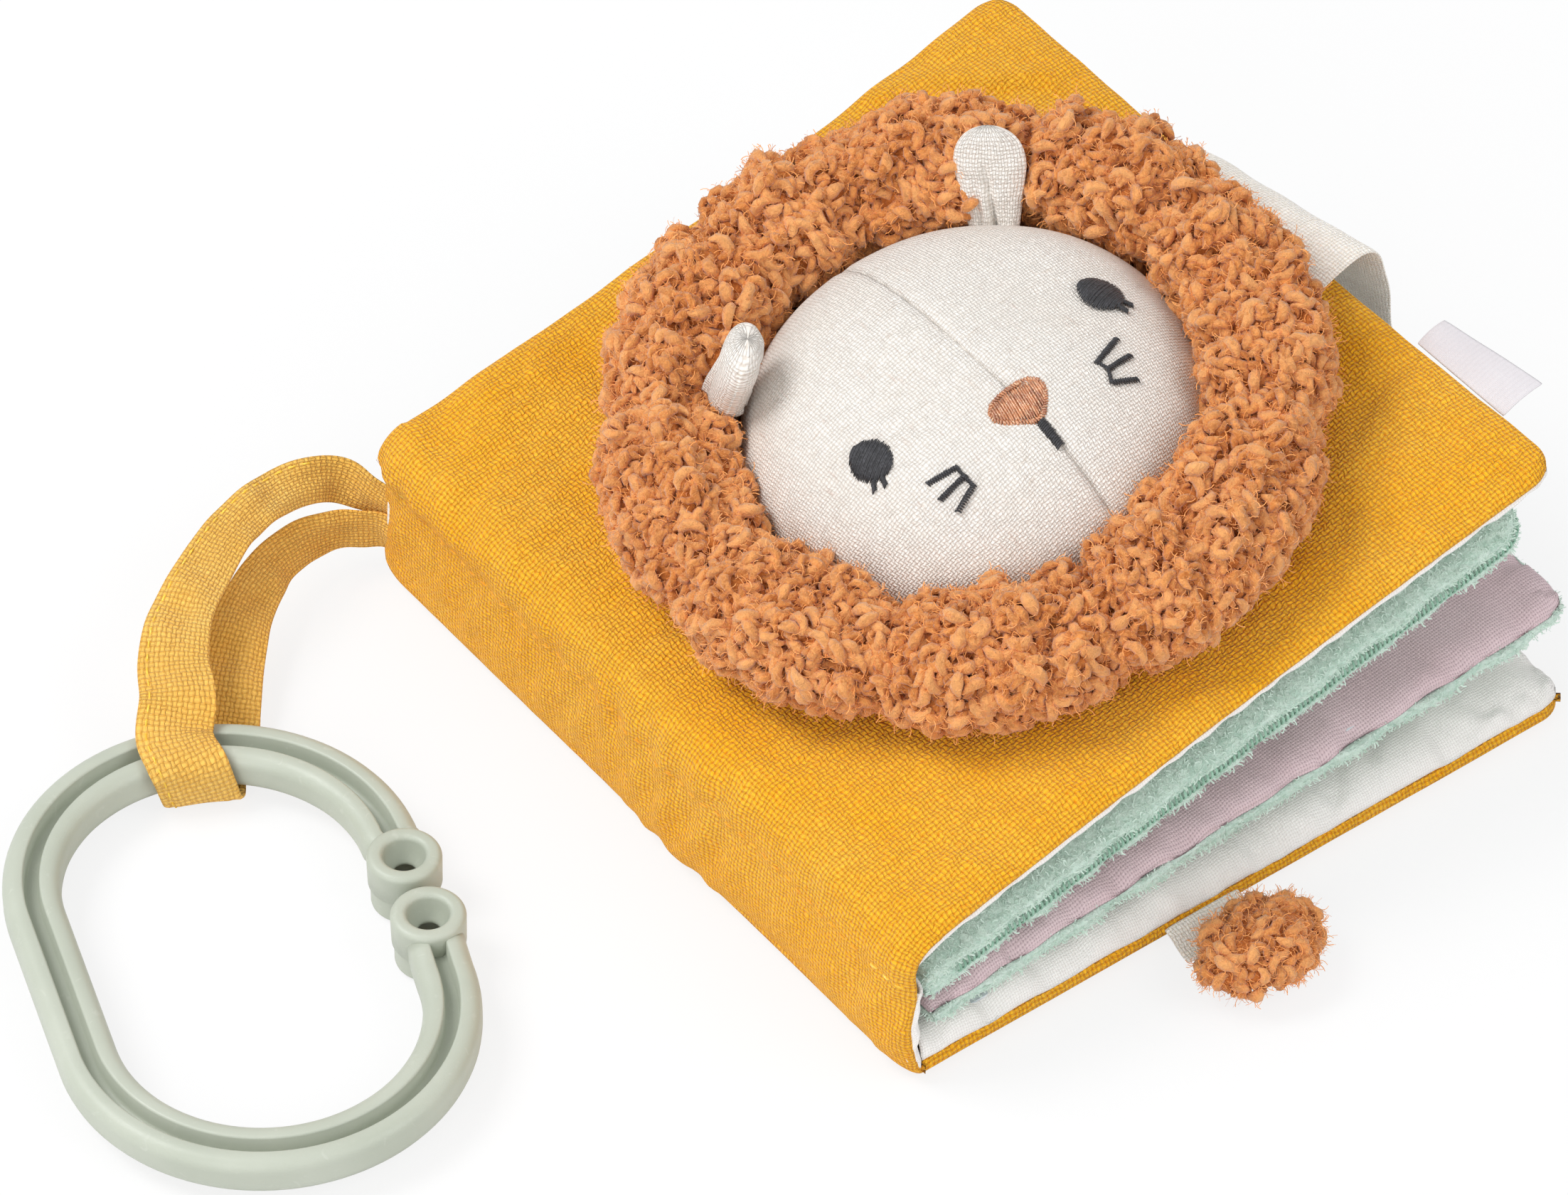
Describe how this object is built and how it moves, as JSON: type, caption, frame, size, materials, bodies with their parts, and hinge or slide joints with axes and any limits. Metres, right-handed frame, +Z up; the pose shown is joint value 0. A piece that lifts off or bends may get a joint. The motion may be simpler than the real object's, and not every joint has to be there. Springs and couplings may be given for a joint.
{
  "type": "crinkle cloth book",
  "caption": "Soft square cloth book with padded crinkling pages, a stuffed lion's head on the cover, a closing strap and a hang loop with a clip-on ring",
  "frame": {"origin": "the centre of the back cover's flat underside, which rests on the table", "axes": "+X from the spine to the fore edge, +Y from the bottom edge to the top edge where the hang loop is sewn, +Z up, out of the back cover towards the front cover"},
  "size_m": [0.2608, 0.1876, 0.0842],
  "materials": {
    "mustard_gauze": "puckered double gauze",
    "wadding": "polyester wadding",
    "crinkle_film": "thin crinkling film",
    "white_cotton": "plain cotton with a small print",
    "touch_fastening": "woven hook and loop tape",
    "caramel_plush": "curly pile plush",
    "linen": "flecked linen cloth",
    "black_thread": "satin stitch",
    "copper_thread": "satin stitch",
    "satin": "woven satin",
    "mint_plush": "short pile plush",
    "mauve_cotton": "smooth cotton",
    "mustard_strap": "coarse basket weave",
    "sage_plastic": "moulded, softly shining"
  },
  "bodies": {
    "back": {"back_cover_outer": "mustard_gauze", "back_cover_padding": "wadding", "back_cover_crinkle_film": "crinkle_film", "back_cover_lining": "white_cotton", "loop_patch": "touch_fastening", "spine_outer": "mustard_gauze", "spine_padding": "wadding", "spine_lining": "white_cotton"},
    "front": {"front_cover_outer": "mustard_gauze", "front_cover_padding": "wadding", "front_cover_crinkle_film": "crinkle_film", "front_cover_lining": "white_cotton", "mane": "caramel_plush", "mane_backing": "caramel_plush", "face_left_panel": "linen", "face_right_panel": "linen", "face_stuffing": "wadding", "ear_left": "linen", "ear_right": "linen", "eye_left": "black_thread", "eye_right": "black_thread", "nose": "copper_thread", "mouth_stitch": "black_thread", "whiskers_left": "black_thread", "whiskers_right": "black_thread", "closure_strap_band": "linen", "satin_label": "satin"},
    "closure_flap": {"closure_strap_flap": "linen", "hook_patch": "touch_fastening"},
    "leaf_1": {"leaf_1_front_plush": "mint_plush", "leaf_1_padding": "wadding", "leaf_1_crinkle_film": "crinkle_film", "leaf_1_back_plush": "mint_plush"},
    "leaf_2": {"leaf_2_front_cotton": "mauve_cotton", "leaf_2_padding": "wadding", "leaf_2_crinkle_film": "crinkle_film", "leaf_2_back_plush": "mint_plush"},
    "strap": {"hang_loop": "mustard_strap"},
    "link_ring": {"ring": "sage_plastic"},
    "tail": {"tail_tape": "linen", "tail_tuft": "caramel_plush"}
  },
  "joints": [
    {"name": "cover_hinge", "type": "hinge", "parent": "back", "child": "front", "pos_m": [-0.0711, 0, 0.022], "axis": [0, -1, 0], "range_deg": [0, 120]},
    {"name": "leaf_1_hinge", "type": "hinge", "parent": "back", "child": "leaf_1", "pos_m": [-0.0628, 0, 0.0192], "axis": [0, -1, 0], "range_deg": [0, 85]},
    {"name": "leaf_2_hinge", "type": "hinge", "parent": "back", "child": "leaf_2", "pos_m": [-0.061, 0, 0.0119], "axis": [0, -1, 0], "range_deg": [0, 37]},
    {"name": "flap_hinge", "type": "hinge", "parent": "front", "child": "closure_flap", "pos_m": [0.06942, -0.001, 0.06648], "axis": [0, -1, 0], "range_deg": [0, 90]},
    {"name": "loop_swing", "type": "hinge", "parent": "back", "child": "strap", "pos_m": [-0.066, 0.075, 0.012], "axis": [0, 0, 1], "range_deg": [-90, 0]},
    {"name": "ring_turn", "type": "hinge", "parent": "strap", "child": "link_ring", "pos_m": [-0.13752, 0.02523, 0.0063], "axis": [0, 0, 1], "range_deg": [-60, 60]},
    {"name": "tail_lift", "type": "hinge", "parent": "back", "child": "tail", "pos_m": [-0.0092, -0.0748, 0.0037], "axis": [-1, 0, 0], "range_deg": [0, 45]}
  ],
  "couplings": [
    {"joint": "leaf_1_hinge", "follows": "cover_hinge", "ratio": 0.7},
    {"joint": "leaf_2_hinge", "follows": "cover_hinge", "ratio": 0.3}
  ]
}
